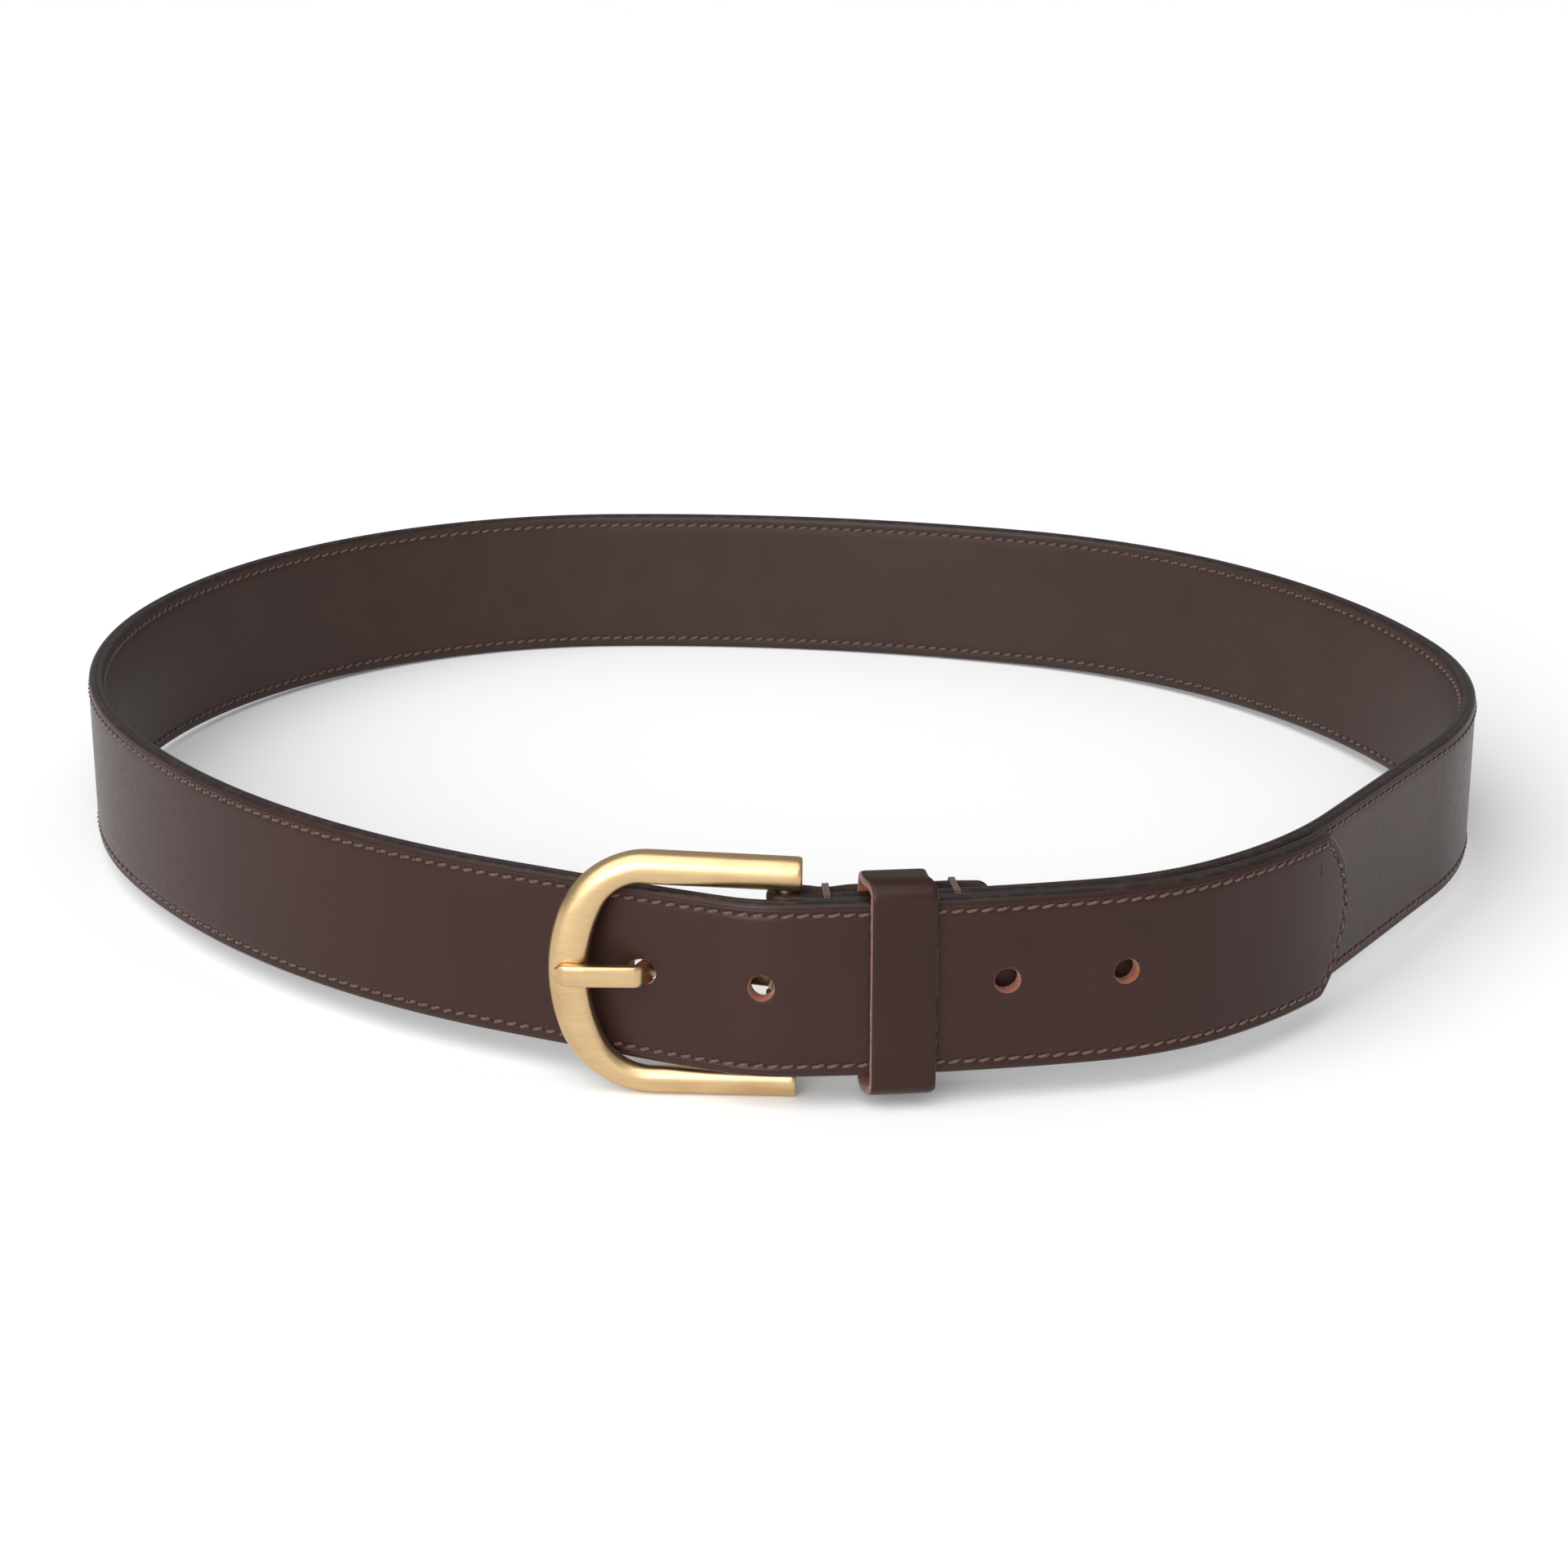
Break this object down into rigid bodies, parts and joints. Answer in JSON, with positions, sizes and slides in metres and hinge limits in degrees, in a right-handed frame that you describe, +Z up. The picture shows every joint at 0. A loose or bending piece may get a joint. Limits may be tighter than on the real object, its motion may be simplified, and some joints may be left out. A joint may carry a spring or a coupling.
{
  "type": "leather belt",
  "caption": "Buckled leather dress belt standing on its edge: two-ply stitched strap, horseshoe buckle with tongue, keeper loop and punched pointed tip.",
  "frame": {"origin": "centre of the bounding box in plan, on the level of the buckle's lowest edge", "axes": "+X along the front towards the tip, -Y the front with the buckle, +Z up across the strap's width"},
  "size_m": [0.3329, 0.2954, 0.0533],
  "materials": {
    "strap_leather": "dark brown bridle leather, waxed satin grain, painted edges",
    "lining_leather": "dark brown smooth lining leather, satin",
    "thread": "waxed reddish brown polyester sewing thread",
    "satin_brass": "antique gold brass, satin brushed along its length",
    "staple_steel": "coated steel wire"
  },
  "bodies": {
    "strap": {"strap_outer_ring": "strap_leather", "strap_fold": "strap_leather", "strap_outer_billet": "strap_leather", "strap_lining_ring": "lining_leather", "strap_lining_billet": "lining_leather", "edge_stitch_needle": "thread", "edge_stitch_bobbin": "thread", "tack_stitch_buckle_side": "thread", "tack_stitch_tail_side": "thread"},
    "frame": {"buckle_frame": "satin_brass"},
    "tongue": {"buckle_tongue": "satin_brass"},
    "keeper": {"keeper_loop": "strap_leather", "keeper_staple": "staple_steel"}
  },
  "joints": [
    {"name": "frame_swing", "type": "hinge", "parent": "strap", "child": "frame", "pos_m": [0.00257, -0.13852, 0.026], "axis": [0, 0, 1], "range_deg": [0, 2]},
    {"name": "tongue_swing", "type": "hinge", "parent": "frame", "child": "tongue", "pos_m": [0.00257, -0.13852, 0.026], "axis": [0, 0, 1], "range_deg": [0, 1]},
    {"name": "keeper_slide", "type": "slide", "parent": "strap", "child": "keeper", "axis": [0.9952, 0.0978, 0], "range_m": [-0.0025, 0.0025]}
  ]
}
